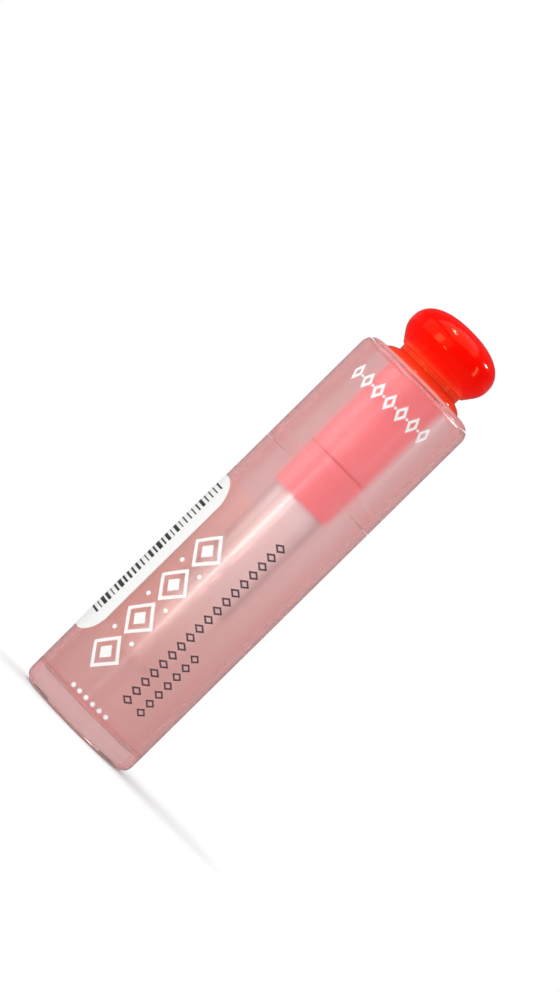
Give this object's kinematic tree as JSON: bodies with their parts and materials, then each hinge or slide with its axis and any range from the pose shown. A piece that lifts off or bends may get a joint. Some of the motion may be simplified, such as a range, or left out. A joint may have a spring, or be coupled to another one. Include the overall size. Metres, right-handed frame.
{
  "type": "lip balm stick",
  "caption": "Twist-up lip balm stick in a clear tinted round case: the cap pulls off, and a mushroom knob on the base feeds the balm out of its tube.",
  "frame": {"origin": "centre of the cap's closed flat end, which the stick stands on", "axes": "+Z along the stick's axis, from the cap's closed end to the knob; -Y is the front, and the label wraps the left side, -X"},
  "size_m": [0.0201, 0.02, 0.0787],
  "materials": {
    "clear_pink_plastic": "clear tinted gloss",
    "white_film": "matte film",
    "red_plastic": "gloss",
    "clear_plastic": "clear gloss",
    "white_plastic": "natural",
    "balm": "satin wax"
  },
  "bodies": {
    "cap": {"cap_shell": "clear_pink_plastic", "barcode_label": "white_film"},
    "base": {"base_shell": "clear_pink_plastic", "shoulder_collar": "red_plastic", "core_sleeve": "red_plastic", "tube_collar": "red_plastic", "guide_tube": "clear_plastic"},
    "knob": {"neck_ring": "red_plastic", "knob_head": "red_plastic", "spindle": "white_plastic"},
    "carrier": {"carrier": "white_plastic", "balm": "balm"}
  },
  "joints": [
    {"name": "base_lift", "type": "slide", "parent": "cap", "child": "base", "axis": [0, 0, 1], "range_m": [0, 0.05]},
    {"name": "knob_twist", "type": "hinge", "parent": "base", "child": "knob", "pos_m": [0, 0, 0.07], "axis": [0, 0, -1], "range_deg": [-780, 480]},
    {"name": "balm_feed", "type": "slide", "parent": "base", "child": "carrier", "axis": [0, 0, -1], "range_m": [-0.013, 0.008]}
  ],
  "couplings": [
    {"joint": "knob_twist", "follows": "balm_feed", "rad_per_m": 1047.2}
  ]
}
